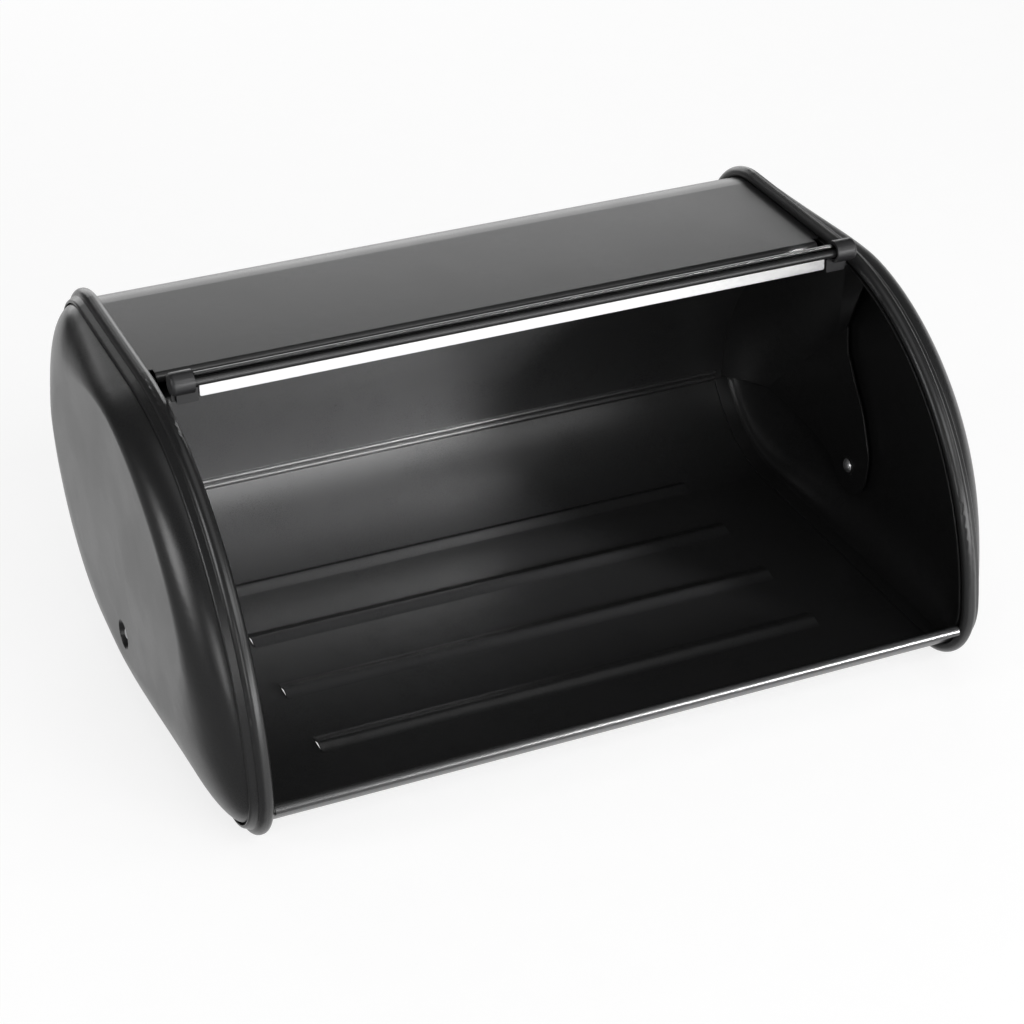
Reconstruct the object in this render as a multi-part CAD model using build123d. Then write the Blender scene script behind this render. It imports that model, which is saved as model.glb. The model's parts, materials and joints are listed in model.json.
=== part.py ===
from build123d import *
from math import asin, atan2, cos, degrees, hypot, radians, sin, sqrt
import os

# Roll-top bread bin in painted sheet steel, drawn with its lid rolled open.
# Millimetres. X is the width, -Y the front with the opening, +Z up.
# The origin is on the floor, under the middle of the bin.

# ---- side outline: the crest line of the two end rings ----
DEPTH = 264.0
HEIGHT = 165.0
FRONT_ARC_R = 142.0
FRONT_ARC_Y = FRONT_ARC_R - DEPTH / 2
FRONT_ARC_Z = HEIGHT - FRONT_ARC_R
TOE_R = 33.0            # corner between the front arc and the base
BACK_TOP_R = 42.0
BACK_BASE_R = 72.0

# ---- sheet and rings ----
SHEET = 0.8
RING_X = 170.0          # crest of each end ring, from the middle
RING_INNER_X = 166.6    # inner side of the rolled bead
RING_FOOT_X = 167.6     # the foot under the bead, drawn back to leave a groove
RING_SEAM_X = 176.6     # where the ring meets the dished cap
RING_RISE = 5.0         # crest above the wrap
RING_GROOVE = 1.3       # height of the groove between bead and wrap
RING_BEAD_MID_IN = (167.3, 1.2)     # X and drop below the crest, inner half of the bead
RING_BEAD_MID_OUT = (172.4, 1.0)    # outer half of the bead
RING_BEAD_OUT = (173.3, 3.0)        # end of the bead
RING_BAND_OUT = (175.9, 4.3)        # end of the flat band beside the bead
RING_EDGE_MID = (176.45, 4.85)      # rounded edge down to the seam
RING_LAND = 1.2         # narrow flat on the crest, the bin stands on it
RING_JOIN_Y = 50.0      # the ring section starts here, on the flat top
SHEET_FIT = 0.05        # running gap between the nested sheets
WRAP_EDGE_X = 168.0     # wrap edge, held under the ring
HEM_R = 2.2             # rolled front edge of the top
HEM_Y = 17.0
HEM_TURN = 250.0        # how far each rolled edge turns round, degrees
HEM_END_X = 163.5       # the rolled edge stops short of the rings
HEM_GAP = (20.0, 20.0, 14.0)    # room cut out past each end of the rolled edge
LIP_R = 1.9             # rolled edge of the low front lip
LIP_ANGLE = 17.0        # how far short of level the lip sheet stops
LIP_TURN = 265.0
LIP_END_X = 166.2
LIP_GAP = (20.0, 13.0, 12.0)

RIB_COUNT = 4
RIB_PITCH = 45.0
RIB_FIRST_Y = -67.0
RIB_LENGTH = 266.0
RIB_WIDTH = 15.0
RIB_RISE = 1.8
RIB_DIP = 0.04          # the foot of a rib dips this far below the sheet face
RIB_ROOT = 0.3          # and runs on this far into the sheet

# ---- dished end caps ----
CAP_SHEET = 0.9
CAP_RIM_INSET = 5.85
CAP_BEND_X = 174.0      # the rim ends and the dish begins
CAP_FACE_X = 190.0      # outer flat face
FACE_Y = 10.7           # middle of the flat face
FACE_Z = 87.4
FACE_LONG = 95.0        # half length and half height of the flat face
FACE_SHORT = 63.0
FACE_TILT = 6.7         # the face leans up towards the back, degrees
FACE_SQUARENESS = 1.75  # 2 gives an ellipse, less pulls the corners in
SHOULDER_POWER = 0.9    # 1 gives a round shoulder, less a fuller start
SHOULDER_STATIONS = (0, 12, 24, 36, 48, 60, 70, 80, 90)     # degrees round the shoulder
DISH_POINTS = 96
DISH_STEP = 0.15        # the dish starts a touch inside the rim, under the ring
DIMPLE_R = 7.0
DIMPLE_DEPTH = 2.6
DIMPLE_DRAFT = 1.6

# ---- lid ----
PIVOT_Y = 7.0
PIVOT_Z = 37.0
LID_R = 108.0           # outer face of the lid panel, about the pivot
LID_HALF = 169.9
LID_START = 180.0       # rear edge, degrees up from the front around the pivot
LID_STRAIGHT = 111.5    # the arc runs out into a straight flare here
LID_NOTCH_X = 165.6     # the front corners of the lid are cut back past here
LID_NOTCH_Y = -1.5
LID_NOTCH = (10.0, 20.0, 16.0)
BEAD_R = 1.2            # stiffening beads along the rear edge
BEAD_FIRST = 0.7        # degrees above the rear edge
BEAD_PITCH = 1.65
BEAD_COUNT = 2
BEAD_HALF = 165.9
FLANGE_BACK_Y = -9.2
CURL_R = 3.6            # rolled leading edge
CURL_Y = FLANGE_BACK_Y - CURL_R
CURL_Z = 168.9
CURL_TURN = 104.0
CURL_HALF = 154.5
FLANGE_HALF = 164.4
FLANGE_GAP = (20.0, 6.0, 12.0)      # top of the flange cut away under each clip
FLANGE_GAP_LIFT = 2.0
ROD_R = 1.9
ROD_HALF = 163.5
ROD_Y = CURL_Y - 0.4
ROD_Z = CURL_Z - 0.7
STRIP_HALF = 152.3
STRIP_THICK = 1.4
STRIP_LOW = 159.6
STRIP_HIGH = 165.4
STRIP_CORNER_R = 1.2
STRIP_EDGE_R = 0.35
CLIP_R = 5.2
CLIP_BORE_R = 3.66
CLIP_IN_X = 155.5
CLIP_OUT_X = 165.8
CLIP_WALL = 4.0
CLIP_EDGE_R = 1.8
CLIP_SLOT_LONG = 60.0   # slot for the flange, open at the inner end
CLIP_SLOT_HIGH = 5.4
CLIP_FIT = 0.03
TAB_IN_X = 152.9        # tab that closes off each end of the strip
TAB_OUT_X = 162.6
TAB_LOW = 158.4
TAB_THICK = 2.2
TAB_OVERLAP = 1.2       # how far the tab runs up into the sleeve
TAB_CORNER_R = 0.8

# ---- lid ears and pivots ----
EAR_SHEET = 0.9
EAR_OUT_X = 186.2
EAR_IN_X = EAR_OUT_X - EAR_SHEET
EAR_BAND = 1.6          # in-plane width of the sloping part at the crease
EAR_LAP = 9.0           # lap on top of the lid panel
EAR_LAP_FROM = 12.0     # degrees above the rear edge of the panel
EAR_LAP_TO = 60.5
EAR_REAR = 1.0          # the ear starts this far above the rear edge
EAR_BENDS = (0, 0.62, 0.88, 1)      # shares of the crease that meet the corners of the edge
EAR_TOE_Y = -18.6       # front corner of the ear, forward of the lid panel
EAR_TOE_Z = 152.0
PIVOT_R = 2.0
PIVOT_GAP = 0.06
WASHER_R = 5.0
WASHER_THICK = 0.6
RIVET_GAP = 0.1         # gaps between ear, washer and inner rivet head
HEAD_R = 3.6
HEAD_RISE = 1.8
OUTER_HEAD_R = 3.9
ROD_CHAMFER = 0.4

SIDES = {"left": -1, "right": 1}


def outline(inset, base_inset=None, toe=None, back_top=None, back_base=None):
    """Closed side outline, moved in from the crest line, in the YZ plane."""
    base = inset if base_inset is None else base_inset
    toe_r = TOE_R - inset if toe is None else toe
    top_r = BACK_TOP_R - inset if back_top is None else back_top
    low_r = BACK_BASE_R - inset if back_base is None else back_base
    arc_r = FRONT_ARC_R - inset
    back_y = DEPTH / 2 - inset
    top_z = HEIGHT - inset
    rise = base + toe_r - FRONT_ARC_Z
    toe_y = FRONT_ARC_Y - sqrt((arc_r - toe_r) ** 2 - rise ** 2)
    meet = 180.0 - degrees(asin(rise / (arc_r - toe_r)))
    edges = [
        Line((FRONT_ARC_Y, top_z), (back_y - top_r, top_z)),
        CenterArc((back_y - top_r, top_z - top_r), top_r, 90, -90),
        Line((back_y, top_z - top_r), (back_y, base + low_r)),
        CenterArc((back_y - low_r, base + low_r), low_r, 0, -90),
        Line((back_y - low_r, base), (toe_y, base)),
        CenterArc((toe_y, base + toe_r), toe_r, 270, meet - 270),
        CenterArc((FRONT_ARC_Y, FRONT_ARC_Z), arc_r, meet, 90 - meet),
    ]
    return make_face(edges)


def side_plane(x):
    """Plane seen from +X: local x runs along Y, local y along Z."""
    return Plane(origin=(x, 0, 0), x_dir=(0, 1, 0), z_dir=(1, 0, 0))


def slab(face, x_from, x_to):
    """Extrude a side face between two X stations."""
    return extrude(side_plane(x_from) * face, x_to - x_from)


def strip_along(path, half):
    """Bend a sheet along a side path and run it across the width."""
    return slab(trace(path, SHEET), -half, half)


def polar(radius, angle):
    """Point around the pivot; the angle climbs from the front over the top."""
    a = radians(angle)
    return (PIVOT_Y - radius * cos(a), PIVOT_Z + radius * sin(a))


def mirror_side(shape, sign):
    """Parts are drawn for the right side; the left one is its mirror."""
    return shape if sign > 0 else mirror(shape, about=Plane.YZ)


# ---- body wrap: top, back, base and front lip from one sheet ----
def make_wrap():
    mid = RING_RISE + SHEET / 2
    top_z = HEIGHT - mid
    back_y = DEPTH / 2 - mid
    top_c = (DEPTH / 2 - BACK_TOP_R, HEIGHT - BACK_TOP_R)
    low_c = (DEPTH / 2 - BACK_BASE_R, BACK_BASE_R)
    toe_y = FRONT_ARC_Y - sqrt((FRONT_ARC_R - TOE_R) ** 2 - (TOE_R - FRONT_ARC_Z) ** 2)
    toe_r = TOE_R - mid
    lip_at = 180.0 + LIP_ANGLE
    curl_y = toe_y + (toe_r + LIP_R) * cos(radians(lip_at))
    curl_z = TOE_R + (toe_r + LIP_R) * sin(radians(lip_at))
    path = Curve() + [
        CenterArc((HEM_Y, top_z - HEM_R), HEM_R, 90, HEM_TURN),
        Line((HEM_Y, top_z), (top_c[0], top_z)),
        CenterArc(top_c, BACK_TOP_R - mid, 90, -90),
        Line((back_y, top_c[1]), (back_y, low_c[1])),
        CenterArc(low_c, BACK_BASE_R - mid, 0, -90),
        Line((low_c[0], mid), (toe_y, mid)),
        CenterArc((toe_y, TOE_R), toe_r, 270, lip_at - 270),
        CenterArc((curl_y, curl_z), LIP_R, LIP_ANGLE, LIP_TURN),
    ]
    wrap = strip_along(path, WRAP_EDGE_X)
    # the rolled front edges stop just inside the rings
    for sign in SIDES.values():
        hem_x = sign * (HEM_END_X + HEM_GAP[0] / 2)
        hem_gap = Pos(hem_x, HEM_Y + 3 - HEM_GAP[1] / 2, HEIGHT - RING_RISE) * Box(*HEM_GAP)
        lip_x = sign * (LIP_END_X + LIP_GAP[0] / 2)
        lip_gap = Pos(lip_x, curl_y + 1.5 - LIP_GAP[1] / 2, curl_z) * Box(*LIP_GAP)
        wrap -= hem_gap
        wrap -= lip_gap
    for i in range(RIB_COUNT):
        y = RIB_FIRST_Y + i * RIB_PITCH
        wrap += rib_body(y, RING_RISE + SHEET)
        wrap -= rib_body(y, RING_RISE)
    return wrap


def rib_body(y, sheet_z):
    """Soft round-ended rib pressed up from a sheet face; its foot dips just below the face."""
    half = RIB_WIDTH / 2
    run = RIB_LENGTH - RIB_WIDTH
    foot = -RIB_DIP
    low = foot - RIB_ROOT
    bell = Spline([(-half, foot), (0, RIB_RISE), (half, foot)], tangents=[(1, 0), (1, 0)])
    base = Polyline((half, foot), (half, low), (-half, low), (-half, foot))
    middle = Plane(origin=(-run / 2, y, sheet_z), x_dir=(0, 1, 0), z_dir=(1, 0, 0))
    rib = extrude(middle * make_face([bell, base]), run)
    half_bell = Spline([(0, RIB_RISE), (half, foot)], tangents=[(1, 0), (1, 0)])
    half_base = Polyline((half, foot), (half, low), (0, low), (0, RIB_RISE))
    upright = Plane(origin=(0, y, sheet_z), x_dir=(1, 0, 0), z_dir=(0, -1, 0))
    end = revolve(upright * make_face([half_bell, half_base]), Axis((0, y, 0), (0, 0, 1)))
    for sign in SIDES.values():
        rib += Pos(sign * run / 2, 0, 0) * end
    return rib


# ---- end ring: rounded trim over the seam between wrap and cap ----
def make_ring():
    under = CAP_RIM_INSET - SHEET_FIT
    wrap_side = WRAP_EDGE_X + 2 * SHEET_FIT
    half_land = RING_LAND / 2

    def below(point):
        """Section point from an X and a drop below the crest."""
        return (point[0], -point[1])

    foot = (RING_FOOT_X, -RING_RISE)
    bead_low = (RING_INNER_X, RING_GROOVE - RING_RISE)
    crest_in = (RING_X - half_land, 0)
    crest_out = (RING_X + half_land, 0)
    bead_out = below(RING_BEAD_OUT)
    band_out = below(RING_BAND_OUT)
    seam = (RING_SEAM_X, -under)
    lines = [
        Line(foot, bead_low),
        ThreePointArc(bead_low, below(RING_BEAD_MID_IN), crest_in),
        Line(crest_in, crest_out),
        ThreePointArc(crest_out, below(RING_BEAD_MID_OUT), bead_out),
        Line(bead_out, band_out),
        ThreePointArc(band_out, below(RING_EDGE_MID), seam),
        Line(seam, (wrap_side, -under)),
        Line((wrap_side, -under), (wrap_side, -RING_RISE)),
        Line((wrap_side, -RING_RISE), foot),
    ]
    upright = Plane(origin=(0, RING_JOIN_Y, HEIGHT), x_dir=(1, 0, 0), z_dir=(0, -1, 0))
    section = upright * make_face(lines)
    path = (side_plane(RING_X) * outline(0)).wire()
    return sweep(section, path=path)


# ---- dished end cap ----
def face_reach(angle):
    """Distance from the middle of the flat face to its edge; angle in radians."""
    a = angle - radians(FACE_TILT)
    along = abs(cos(a) / FACE_LONG) ** FACE_SQUARENESS
    across = abs(sin(a) / FACE_SHORT) ** FACE_SQUARENESS
    return (along + across) ** (-1 / FACE_SQUARENESS)


def dish_section(rim, share, shrink):
    """Closed curve between the rim (share 0) and the flat face (share 1)."""
    points = []
    for i in range(DISH_POINTS):
        rim_at = rim.position_at(i / DISH_POINTS)
        y = rim_at.X - FACE_Y
        z = rim_at.Y - FACE_Z
        angle = atan2(z, y)
        reach = (1 - share) * hypot(y, z) + share * (face_reach(angle) - shrink)
        points.append((FACE_Y + reach * cos(angle), FACE_Z + reach * sin(angle)))
    return make_face(Spline(points, periodic=True))


def dish_solid(shrink):
    """Pillow-shaped plug; a positive shrink gives the inner face of the sheet."""
    rim = outline(CAP_RIM_INSET + DISH_STEP + shrink).wire()
    bulge = CAP_FACE_X - CAP_BEND_X - shrink
    sections = []
    for angle in SHOULDER_STATIONS:
        share = (1 - cos(radians(angle))) ** SHOULDER_POWER
        x = CAP_BEND_X + bulge * sin(radians(angle))
        sections.append(side_plane(x) * dish_section(rim, share, shrink))
    return loft(sections)


def dimple(extra):
    """Conical tool for the pressed dimple around the pivot; extra adds the sheet."""
    cone = Cone(DIMPLE_R - DIMPLE_DRAFT + extra, DIMPLE_R + extra, DIMPLE_DEPTH)
    return Pos(CAP_FACE_X - extra - DIMPLE_DEPTH / 2, PIVOT_Y, PIVOT_Z) * Rot(0, 90, 0) * cone


def make_cap():
    rim_face = outline(CAP_RIM_INSET) - outline(CAP_RIM_INSET + CAP_SHEET)
    rim = slab(rim_face, RING_INNER_X, CAP_BEND_X)
    outside = dish_solid(0) - dimple(0)
    inside = dish_solid(CAP_SHEET) - dimple(CAP_SHEET)
    hole = Pos(CAP_FACE_X, PIVOT_Y, PIVOT_Z) * Rot(0, 90, 0) * Cylinder(PIVOT_R, 20)
    return rim + (outside - inside) - hole


# ---- lid panel ----
def flare_line():
    """Straight run from the end of the lid arc to the foot of the flange."""
    mid_r = LID_R - SHEET / 2
    a = radians(LID_STRAIGHT)
    start = polar(mid_r, LID_STRAIGHT)
    reach = (start[0] - FLANGE_BACK_Y + SHEET / 2) / sin(a)
    return start, (start[0] - reach * sin(a), start[1] - reach * cos(a))


def make_panel():
    mid_r = LID_R - SHEET / 2
    start, foot = flare_line()
    arc = CenterArc((PIVOT_Y, PIVOT_Z), mid_r, 0, 180 - LID_STRAIGHT)
    flare = Line(start, foot)
    panel = strip_along(Curve() + [arc, flare], LID_HALF)
    # flange, then the rolled edge that cradles the rod
    flange_y = FLANGE_BACK_Y - SHEET / 2
    flange = strip_along(Line(foot, (flange_y, CURL_Z)), FLANGE_HALF)
    corner = slab(Pos(*foot) * Circle(SHEET / 2), -FLANGE_HALF, FLANGE_HALF)
    curl = strip_along(CenterArc((CURL_Y, CURL_Z), CURL_R - SHEET / 2, 0, CURL_TURN), CURL_HALF)
    for sign in SIDES.values():
        room_x = sign * (CURL_HALF + FLANGE_GAP[0] / 2)
        clip_room = Pos(room_x, flange_y, CURL_Z + FLANGE_GAP_LIFT) * Box(*FLANGE_GAP)
        notch_x = sign * (LID_NOTCH_X + LID_NOTCH[0] / 2)
        corner_notch = Pos(notch_x, LID_NOTCH_Y - LID_NOTCH[1] / 2, foot[1]) * Box(*LID_NOTCH)
        flange -= clip_room
        panel -= corner_notch
    panel += corner + flange + curl
    # stiffening beads along the rear edge, standing in towards the pivot
    for i in range(BEAD_COUNT):
        bead_at = LID_START - BEAD_FIRST - i * BEAD_PITCH
        bead = CenterArc(polar(mid_r, bead_at), BEAD_R, 90, 180)
        panel += strip_along(bead, BEAD_HALF)
    return panel


# ---- lid ear: side plate from the panel edge down to the pivot ----
def from_pivot(y, z):
    """Point in the side view, measured from the pivot."""
    return (PIVOT_Y + y, PIVOT_Z + z)


CREASE_REAR = from_pivot(84, 3)
CREASE_FRONT = from_pivot(10.5, 72)


def along_crease(share, lift=0.0):
    """Point on the crease, rear end 0 to front end 1, lifted off it towards the panel."""
    run_y = CREASE_FRONT[0] - CREASE_REAR[0]
    run_z = CREASE_FRONT[1] - CREASE_REAR[1]
    run = hypot(run_y, run_z)
    return (CREASE_REAR[0] + share * run_y + lift * run_z / run,
            CREASE_REAR[1] + share * run_z - lift * run_y / run)


def ear_flat_face():
    """Flat lower part of the ear, between the crease and the pivot."""
    front_low = from_pivot(-16.4, 2)
    low = from_pivot(0, -14.5)
    front = Spline([front_low, from_pivot(-17.2, 12), from_pivot(-13.5, 23), from_pivot(-8, 35),
                    from_pivot(-0.5, 45), from_pivot(6.5, 56), CREASE_FRONT],
                   tangents=[(-0.15, 1), (0.1, 1)])
    end = ThreePointArc(front_low, from_pivot(-11.5, -9.7), low)
    rear = Spline([low, from_pivot(11, -10), from_pivot(19, -3.5), from_pivot(32, 0.5),
                   from_pivot(56, 2.5), CREASE_REAR], tangents=[(1, 0), (1, 0)])
    # the crease itself is overlapped by the foot of the sloping part
    rear_out = along_crease(0, EAR_BAND)
    front_out = along_crease(1, EAR_BAND)
    crease = [Line(CREASE_REAR, rear_out), Line(rear_out, front_out), Line(front_out, CREASE_FRONT)]
    return make_face([front, end, rear] + crease)


def closed_run(points):
    """Straight edges through the points in order."""
    return [Line(points[i], points[i + 1]) for i in range(len(points) - 1)]


def make_ear():
    flat = slab(ear_flat_face(), EAR_IN_X, EAR_OUT_X)
    # sloping part: from the crease on the flat plate to the curved panel edge
    inner = [along_crease(s) for s in EAR_BENDS]
    outer = [along_crease(s, EAR_BAND) for s in reversed(EAR_BENDS)]
    foot_face = make_face(closed_run(inner + outer + inner[:1]))
    in_r = LID_R - SHEET
    out_r = LID_R + EAR_SHEET
    flare = radians(LID_STRAIGHT)
    rear_angle = LID_START - EAR_REAR
    centre = (PIVOT_Y, PIVOT_Z)
    start_in = polar(in_r, LID_STRAIGHT)
    start_out = polar(out_r, LID_STRAIGHT)
    reach = (start_in[0] - LID_NOTCH_Y) / sin(flare)
    bend_in = (start_in[0] - reach * sin(flare), start_in[1] - reach * cos(flare))
    bend_out = (bend_in[0], bend_in[1] + SHEET + EAR_SHEET)
    toe_in = (EAR_TOE_Y, EAR_TOE_Z - EAR_SHEET)
    toe_out = (EAR_TOE_Y, EAR_TOE_Z)
    rim_face = make_face([
        CenterArc(centre, in_r, 180 - rear_angle, rear_angle - LID_STRAIGHT),
        *closed_run([start_in, bend_in, toe_in, toe_out, bend_out, start_out]),
        CenterArc(centre, out_r, 180 - LID_STRAIGHT, LID_STRAIGHT - rear_angle),
        Line(polar(out_r, rear_angle), polar(in_r, rear_angle))])
    rim_x = LID_HALF + 0.1
    slope = loft([side_plane(EAR_IN_X) * foot_face, side_plane(rim_x) * rim_face], ruled=True)
    lap_r = LID_R + SHEET_FIT
    lap_path = CenterArc(centre, (lap_r + out_r) / 2, EAR_LAP_FROM, EAR_LAP_TO - EAR_LAP_FROM)
    lap = slab(trace(lap_path, out_r - lap_r), rim_x - EAR_LAP, rim_x + 0.2)
    bore = Pos(EAR_OUT_X, PIVOT_Y, PIVOT_Z) * Rot(0, 90, 0) * Cylinder(PIVOT_R + PIVOT_GAP, 10)
    return flat + slope + lap - bore


# ---- pivot rivet and washer ----
WASHER_OUT_X = EAR_IN_X - RIVET_GAP


def make_washer():
    ring = Circle(WASHER_R) - Circle(PIVOT_R + PIVOT_GAP)
    return slab(Pos(PIVOT_Y, PIVOT_Z) * ring, WASHER_OUT_X - WASHER_THICK, WASHER_OUT_X)


def dome(radius, rise):
    """Low rivet head on the XY plane."""
    ball_r = (radius ** 2 + rise ** 2) / (2 * rise)
    ball = Pos(0, 0, rise - ball_r) * Sphere(ball_r)
    return ball & Pos(0, 0, rise / 2) * Box(4 * radius, 4 * radius, rise)


def make_rivet():
    inner_x = WASHER_OUT_X - WASHER_THICK - RIVET_GAP
    outer_x = CAP_FACE_X - DIMPLE_DEPTH
    at = Pos(0, PIVOT_Y, PIVOT_Z)
    middle = Pos((inner_x + outer_x) / 2, 0, 0)
    shank = at * middle * Rot(0, 90, 0) * Cylinder(PIVOT_R, outer_x - inner_x)
    outer = at * Pos(outer_x, 0, 0) * Rot(0, 90, 0) * dome(OUTER_HEAD_R, HEAD_RISE)
    inner = at * Pos(inner_x, 0, 0) * Rot(0, -90, 0) * dome(HEAD_R, HEAD_RISE)
    return shank + outer + inner


# ---- handle: rod, bright strip and two plastic end clips ----
def make_rod():
    rod = slab(Pos(ROD_Y, ROD_Z) * Circle(ROD_R), -ROD_HALF, ROD_HALF)
    return chamfer(rod.edges().filter_by(GeomType.CIRCLE), ROD_CHAMFER)


def make_strip():
    face_y = FLANGE_BACK_Y - SHEET
    height = STRIP_HIGH - STRIP_LOW
    strip = Pos(0, face_y - STRIP_THICK / 2, (STRIP_LOW + STRIP_HIGH) / 2) * Box(
        2 * STRIP_HALF, STRIP_THICK, height)
    strip = fillet(strip.edges().filter_by(Axis.Y), STRIP_CORNER_R)
    front = strip.edges().group_by(Axis.Y)[0]
    return fillet(front, STRIP_EDGE_R)


def make_clip():
    face_y = FLANGE_BACK_Y - SHEET
    centre = Pos(CURL_Y, CURL_Z)
    sleeve = slab(centre * Circle(CLIP_R), CLIP_IN_X, CLIP_OUT_X)
    outer_rim = sleeve.edges().filter_by(GeomType.CIRCLE).sort_by(Axis.X)[-1]
    sleeve = fillet(outer_rim, CLIP_EDGE_R)
    hollow = slab(centre * Circle(CLIP_BORE_R), CLIP_IN_X - 1, CLIP_OUT_X - CLIP_WALL)
    tab_high = CURL_Z - CLIP_R + TAB_OVERLAP
    tab_x = (TAB_IN_X + TAB_OUT_X) / 2
    tab_y = face_y - SHEET_FIT - TAB_THICK / 2
    tab_box = Box(TAB_OUT_X - TAB_IN_X, TAB_THICK, tab_high - TAB_LOW)
    tab = Pos(tab_x, tab_y, (TAB_LOW + tab_high) / 2) * tab_box
    tab = fillet(tab.edges().filter_by(Axis.Y).group_by(Axis.Z)[0], TAB_CORNER_R)
    rod_hole = Pos(ROD_Y, ROD_Z) * Circle(ROD_R + CLIP_FIT)
    rod_bore = slab(rod_hole, CLIP_IN_X - 1, ROD_HALF + RIVET_GAP)
    slot_box = Box(CLIP_SLOT_LONG, SHEET + 2 * SHEET_FIT, CLIP_SLOT_HIGH)
    flange_slot = Pos(CLIP_IN_X, FLANGE_BACK_Y - SHEET / 2, CURL_Z - CLIP_R) * slot_box
    return sleeve + tab - hollow - rod_bore - flange_slot


def save(part, name):
    export_step(part, os.path.join("parts", name + ".step"))


os.makedirs("parts", exist_ok=True)

save(make_wrap(), "body_wrap")
save(make_panel(), "lid_panel")
save(make_rod(), "lid_edge_rod")
save(make_strip(), "handle_strip")

pairs = {
    "end_ring": make_ring(),
    "end_cap": make_cap(),
    "lid_ear": make_ear(),
    "handle_clip": make_clip(),
    "pivot_washer": make_washer(),
    "pivot_rivet": make_rivet(),
}
for name, part in pairs.items():
    for side, sign in SIDES.items():
        save(mirror_side(part, sign), name + "_" + side)
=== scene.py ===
import json
import math

import bpy
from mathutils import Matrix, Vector

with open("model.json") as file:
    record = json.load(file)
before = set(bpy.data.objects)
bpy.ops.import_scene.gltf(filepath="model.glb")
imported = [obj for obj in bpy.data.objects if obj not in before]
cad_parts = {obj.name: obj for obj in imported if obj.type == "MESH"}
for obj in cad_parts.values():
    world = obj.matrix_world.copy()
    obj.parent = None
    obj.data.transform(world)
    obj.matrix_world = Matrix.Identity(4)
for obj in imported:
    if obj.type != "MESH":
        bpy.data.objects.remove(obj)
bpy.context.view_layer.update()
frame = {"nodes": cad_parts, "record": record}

# Black powder-coated roll-top bread bin, shown with its lid rolled open.
# Metres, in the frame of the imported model: X is the width, -Y the front, +Z up.

NODES = frame["nodes"]

# ---- camera ----
CAMERA_AZIMUTH = -23.89         # degrees; 0 is the front, 90 the right
CAMERA_ELEVATION = 31.13
CAMERA_DISTANCE = 1.267
CAMERA_TARGET = Vector((0.0084, 0.0229, 0.0441))
CAMERA_LENS_MM = 92.85

# ---- studio ----
FLOOR_SIDE = 8.0
FLOOR_DROP = 0.0002             # the floor lies this far under the bin
FLOOR_TONES = (0.24, 0.26)
FLOOR_ROUGHNESS = 0.9
FLOOR_GLOW = 0.80               # a lit table, so the bin throws hardly any shadow
LEFT_FLAG = 0.08                # share of the glow left in reflections that look far to the left
FLAG_SPAN = (0.26, 0.42)        # leftward part of a reflected ray where the flag sets in
ROOM_RADIANCE = 0.05
PANEL_AIM = Vector((0.0, 0.0, 0.08))
# name, azimuth, elevation, distance, width, height, radiance
PANELS = (
    ("low_key_panel", 16, 8, 2.0, 2.6, 0.56, 7.0),
    ("front_panel", 8, 42, 2.0, 1.3, 0.7, 4.0),
    ("right_panel", 60, 25, 2.0, 1.0, 0.6, 3.0),
    ("left_front_panel", -50, 12, 2.0, 0.35, 0.7, 6.0),
    ("left_side_panel", -95, 14, 2.0, 0.6, 0.8, 6.0),
    ("overhead_panel", 0, 84, 1.8, 1.6, 1.6, 0.7),
    ("back_panel", 170, 14, 2.2, 2.2, 1.1, 2.3),
)
SPOT_AIM = Vector((-0.035, 0.10, 0.055))
SPOT_AZIMUTH = 32.5
SPOT_ELEVATION = 10
SPOT_DISTANCE = 1.3
SPOT_CONE = 14.5                # degrees
SPOT_RADIUS = 0.21
SPOT_WATTS = 900.0
SPOT_LIT_NODES = ("body_wrap", "lid_panel")

# ---- finishes ----
NOISE_BAND = (0.3, 0.7)         # a noise texture hardly leaves this band
GRAIN_BAND = (0.3, 0.75)
EDGE_RADIUS = 0.0006            # sheet edges are shaded as rounded by this much
EDGE_SAMPLES = 4
PEEL_DEPTH = 0.000006
BRUSH_DEPTH = 0.00001
PITS_DEPTH = 0.00002


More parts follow.
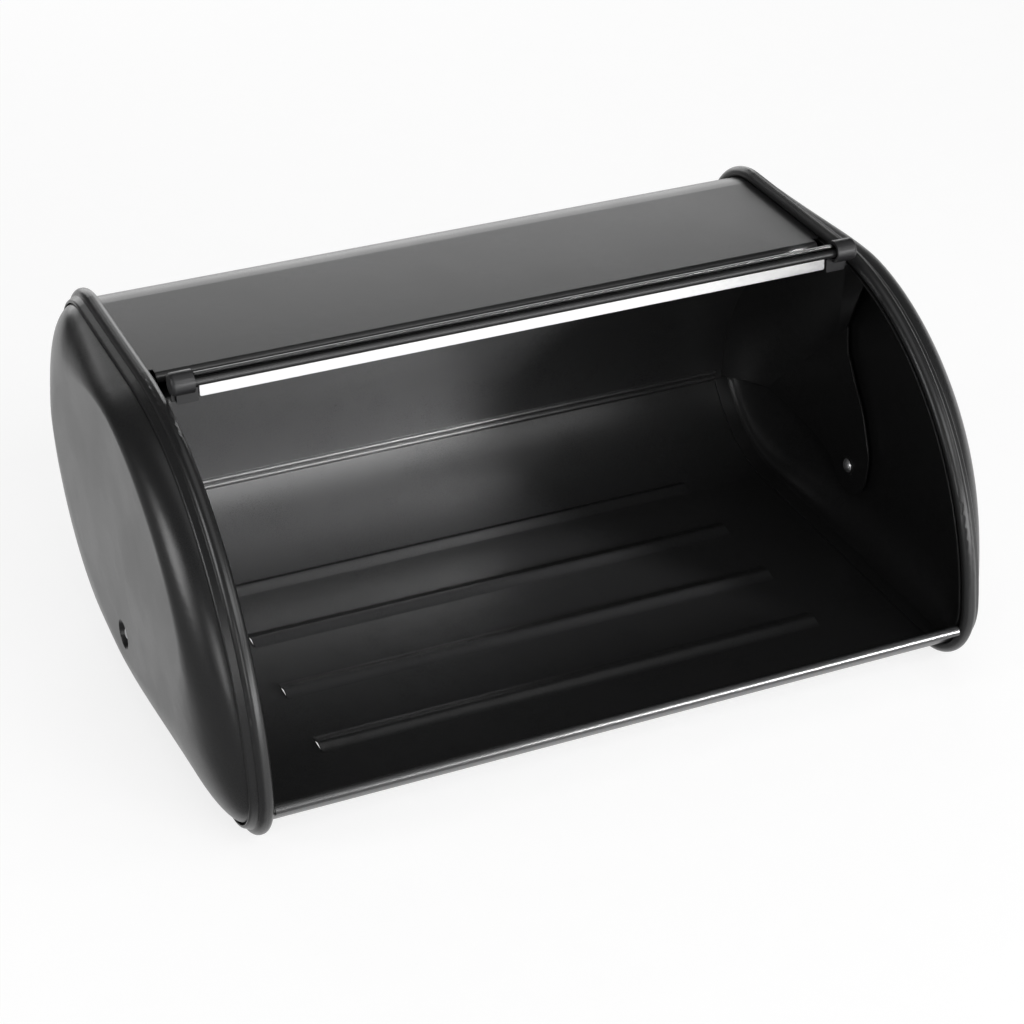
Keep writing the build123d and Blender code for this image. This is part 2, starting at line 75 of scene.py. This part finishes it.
class Shader:
    """A node tree with short calls for the nodes the materials below need."""

    def __init__(self, name):
        self.material = bpy.data.materials.new(name)
        self.material.use_nodes = True
        self.tree = self.material.node_tree
        self.tree.nodes.clear()
        self.output = self.tree.nodes.new("ShaderNodeOutputMaterial")
        self.surface = self.tree.nodes.new("ShaderNodeBsdfPrincipled")
        self.link(self.surface.outputs["BSDF"], self.output.inputs["Surface"])

    def link(self, source, target):
        self.tree.links.new(source, target)

    def feed(self, socket, value):
        """Link a socket, or set a plain value."""
        if isinstance(value, bpy.types.NodeSocket):
            self.link(value, socket)
        else:
            socket.default_value = value

    def place(self, stretch=(1, 1, 1)):
        """Object-space position, stretched per axis."""
        coords = self.tree.nodes.new("ShaderNodeTexCoord")
        mapping = self.tree.nodes.new("ShaderNodeMapping")
        mapping.inputs["Scale"].default_value = stretch
        self.link(coords.outputs["Object"], mapping.inputs["Vector"])
        return mapping.outputs["Vector"]

    def noise(self, where, scale, detail):
        node = self.tree.nodes.new("ShaderNodeTexNoise")
        self.link(where, node.inputs["Vector"])
        node.inputs["Scale"].default_value = scale
        node.inputs["Detail"].default_value = detail
        node.inputs["Roughness"].default_value = 0.55
        return node.outputs["Fac"]

    def span(self, value, low, high, band=NOISE_BAND):
        """Map a value from a band to low ... high, clamped."""
        node = self.tree.nodes.new("ShaderNodeMapRange")
        self.feed(node.inputs["Value"], value)
        node.inputs["From Min"].default_value = band[0]
        node.inputs["From Max"].default_value = band[1]
        node.inputs["To Min"].default_value = low
        node.inputs["To Max"].default_value = high
        return node.outputs["Result"]

    def blend(self, factor, first, second):
        """Mix two colours, each given as red, green and blue."""
        node = self.tree.nodes.new("ShaderNodeMix")
        node.data_type = "RGBA"
        self.feed(node.inputs["Factor"], factor)
        self.feed(node.inputs["A"], (*first, 1))
        self.feed(node.inputs["B"], (*second, 1))
        return node.outputs["Result"]

    def math(self, operation, first, second):
        node = self.tree.nodes.new("ShaderNodeMath")
        node.operation = operation
        self.feed(node.inputs[0], first)
        self.feed(node.inputs[1], second)
        return node.outputs[0]

    def rounded(self, radius):
        """Normal that rounds off sheet edges, so that they catch the light."""
        bevel = self.tree.nodes.new("ShaderNodeBevel")
        bevel.samples = EDGE_SAMPLES
        bevel.inputs["Radius"].default_value = radius
        return bevel.outputs["Normal"]

    def bump(self, height, depth, normal=None):
        node = self.tree.nodes.new("ShaderNodeBump")
        node.inputs["Distance"].default_value = depth
        self.link(height, node.inputs["Height"])
        if normal is not None:
            self.link(normal, node.inputs["Normal"])
        return node.outputs["Normal"]

    def finish(self, **inputs):
        for name, value in inputs.items():
            self.feed(self.surface.inputs[name.replace("_", " ")], value)
        return self.material


def powder_coat():
    """Satin black powder coat: fine orange peel and a slightly uneven sheen."""
    s = Shader("black_powder_coat")
    where = s.place()
    peel = s.noise(where, scale=1600.0, detail=2.0)
    grain = s.noise(where, scale=5200.0, detail=1.0)
    cloud = s.noise(where, scale=22.0, detail=3.0)
    tone = s.blend(s.span(grain, low=0.0, high=1.0, band=GRAIN_BAND),
                   (0.010, 0.010, 0.0103), (0.018, 0.018, 0.0184))
    rough = s.math("ADD", s.span(cloud, low=0.27, high=0.32), s.span(grain, low=-0.03, high=0.04))
    normal = s.bump(peel, PEEL_DEPTH, s.rounded(EDGE_RADIUS))
    return s.finish(Base_Color=tone, Roughness=rough, Normal=normal)


def black_plastic():
    """Moulded black plastic with a faint mould texture."""
    s = Shader("black_plastic")
    where = s.place()
    pits = s.noise(where, scale=2600.0, detail=2.0)
    cloud = s.noise(where, scale=90.0, detail=2.0)
    tone = s.blend(cloud, (0.011, 0.011, 0.012), (0.019, 0.019, 0.02))
    rough = s.span(cloud, low=0.34, high=0.48)
    return s.finish(Base_Color=tone, Roughness=rough, Normal=s.bump(pits, PITS_DEPTH))


def brushed_steel():
    """Bright strip with a fine lengthwise brush and faint scuffs."""
    s = Shader("brushed_strip")
    brush = s.noise(s.place((8.0, 900.0, 900.0)), scale=4.0, detail=4.0)
    mottle = s.noise(s.place((1.0, 1.6, 1.6)), scale=420.0, detail=3.0)
    tone = s.blend(mottle, (0.86, 0.86, 0.86), (0.97, 0.97, 0.97))
    rough = s.math("ADD", s.span(brush, low=0.34, high=0.44), s.span(mottle, low=-0.03, high=0.04))
    normal = s.bump(brush, BRUSH_DEPTH)
    return s.finish(Base_Color=tone, Roughness=rough, Metallic=1.0, Normal=normal)


def bright_rivet():
    """Plated rivet with faint tool marks."""
    s = Shader("plated_rivet")
    marks = s.noise(s.place(), scale=1500.0, detail=3.0)
    rough = s.span(marks, low=0.34, high=0.48)
    tone = s.blend(marks, (0.80, 0.80, 0.81), (0.95, 0.95, 0.96))
    normal = s.bump(marks, PITS_DEPTH)
    return s.finish(Base_Color=tone, Roughness=rough, Metallic=1.0, Normal=normal)


def dark_washer():
    """Blackened washer with faint tool marks."""
    s = Shader("dark_washer")
    marks = s.noise(s.place(), scale=1200.0, detail=2.0)
    rough = s.span(marks, low=0.3, high=0.45)
    tone = s.blend(marks, (0.012, 0.012, 0.012), (0.02, 0.02, 0.02))
    return s.finish(Base_Color=tone, Roughness=rough, Normal=s.bump(marks, PITS_DEPTH))


def paint_nodes():
    """Give every CAD node the finish of its slot."""
    finishes = {
        "black_paint": powder_coat(),
        "bright_strip": brushed_steel(),
        "black_plastic": black_plastic(),
        "bright_rivet": bright_rivet(),
        "dark_washer": dark_washer(),
    }
    slots = {s["node"]: s["material_slot"] for s in frame["record"]["subparts"]}
    for name, node in NODES.items():
        node.data.materials.clear()
        node.data.materials.append(finishes[slots[name]])


# ---- studio ----
def flagged_glow(s):
    """Floor emission: even for the camera, dimmed in reflections that look far to the left."""
    geometry = s.tree.nodes.new("ShaderNodeNewGeometry")
    split = s.tree.nodes.new("ShaderNodeSeparateXYZ")
    s.link(geometry.outputs["Incoming"], split.inputs["Vector"])
    flagged = s.span(split.outputs["X"], FLOOR_GLOW, FLOOR_GLOW * LEFT_FLAG, band=FLAG_SPAN)
    rays = s.tree.nodes.new("ShaderNodeLightPath")
    lost = s.math("SUBTRACT", FLOOR_GLOW, flagged)
    given_back = s.math("MULTIPLY", rays.outputs["Is Camera Ray"], lost)
    return s.math("ADD", flagged, given_back)


def make_floor():
    bpy.ops.mesh.primitive_plane_add(size=FLOOR_SIDE, location=(0, 0, -FLOOR_DROP))
    floor = bpy.context.object
    floor.name = "floor"
    s = Shader("pale_floor")
    speckle = s.noise(s.place(), scale=60.0, detail=2.0)
    tone = s.blend(speckle, (FLOOR_TONES[0],) * 3, (FLOOR_TONES[1],) * 3)
    material = s.finish(Base_Color=tone, Roughness=FLOOR_ROUGHNESS, Emission_Color=(1, 1, 1, 1),
                        Emission_Strength=flagged_glow(s))
    floor.data.materials.append(material)


def make_room():
    """Dim grey room around the light panels."""
    world = bpy.data.worlds.new("studio")
    bpy.context.scene.world = world
    world.use_nodes = True
    background = world.node_tree.nodes["Background"]
    background.inputs["Color"].default_value = (1, 1, 1, 1)
    background.inputs["Strength"].default_value = ROOM_RADIANCE


def toward(azimuth, elevation):
    """Unit vector from angles in degrees; azimuth 0 points to the front, 90 to the right."""
    a = math.radians(azimuth)
    e = math.radians(elevation)
    return Vector((math.sin(a) * math.cos(e), -math.cos(a) * math.cos(e), math.sin(e)))


def aim(item, target, direction, distance):
    """Put a light or camera at a distance from a target, looking back at it."""
    item.location = target + direction * distance
    item.rotation_euler = (-direction).to_track_quat("-Z", "Y").to_euler()
    bpy.context.scene.collection.objects.link(item)


def soft_panel(name, azimuth, elevation, distance, width, height, radiance):
    """Rectangular softbox facing the bin."""
    data = bpy.data.lights.new(name, "AREA")
    data.shape = "RECTANGLE"
    data.size = width
    data.size_y = height
    data.energy = math.pi * width * height * radiance
    light = bpy.data.objects.new(name, data)
    aim(light, PANEL_AIM, toward(azimuth, elevation), distance)


def cavity_spot():
    """Soft spot from the front right that lifts the inside, shaded by the right cap.

    It lights only the wrap and the lid panel, so that the rings keep their quiet highlights.
    """
    data = bpy.data.lights.new("cavity_spot", "SPOT")
    data.energy = SPOT_WATTS
    data.spot_size = math.radians(SPOT_CONE)
    data.spot_blend = 1.0
    data.shadow_soft_size = SPOT_RADIUS
    light = bpy.data.objects.new("cavity_spot", data)
    aim(light, SPOT_AIM, toward(SPOT_AZIMUTH, SPOT_ELEVATION), SPOT_DISTANCE)
    lit = bpy.data.collections.new("cavity_lit")
    for name in SPOT_LIT_NODES:
        lit.objects.link(NODES[name])
    light.light_linking.receiver_collection = lit


def make_lights():
    """Soft panels around the bin and one spot for its inside."""
    for panel in PANELS:
        soft_panel(*panel)
    cavity_spot()


def make_camera():
    data = bpy.data.cameras.new("camera")
    data.lens = CAMERA_LENS_MM
    camera = bpy.data.objects.new("camera", data)
    aim(camera, CAMERA_TARGET, toward(CAMERA_AZIMUTH, CAMERA_ELEVATION), CAMERA_DISTANCE)
    bpy.context.scene.camera = camera


paint_nodes()
make_floor()
make_room()
make_lights()
make_camera()
bpy.context.scene.view_settings.view_transform = "Standard"
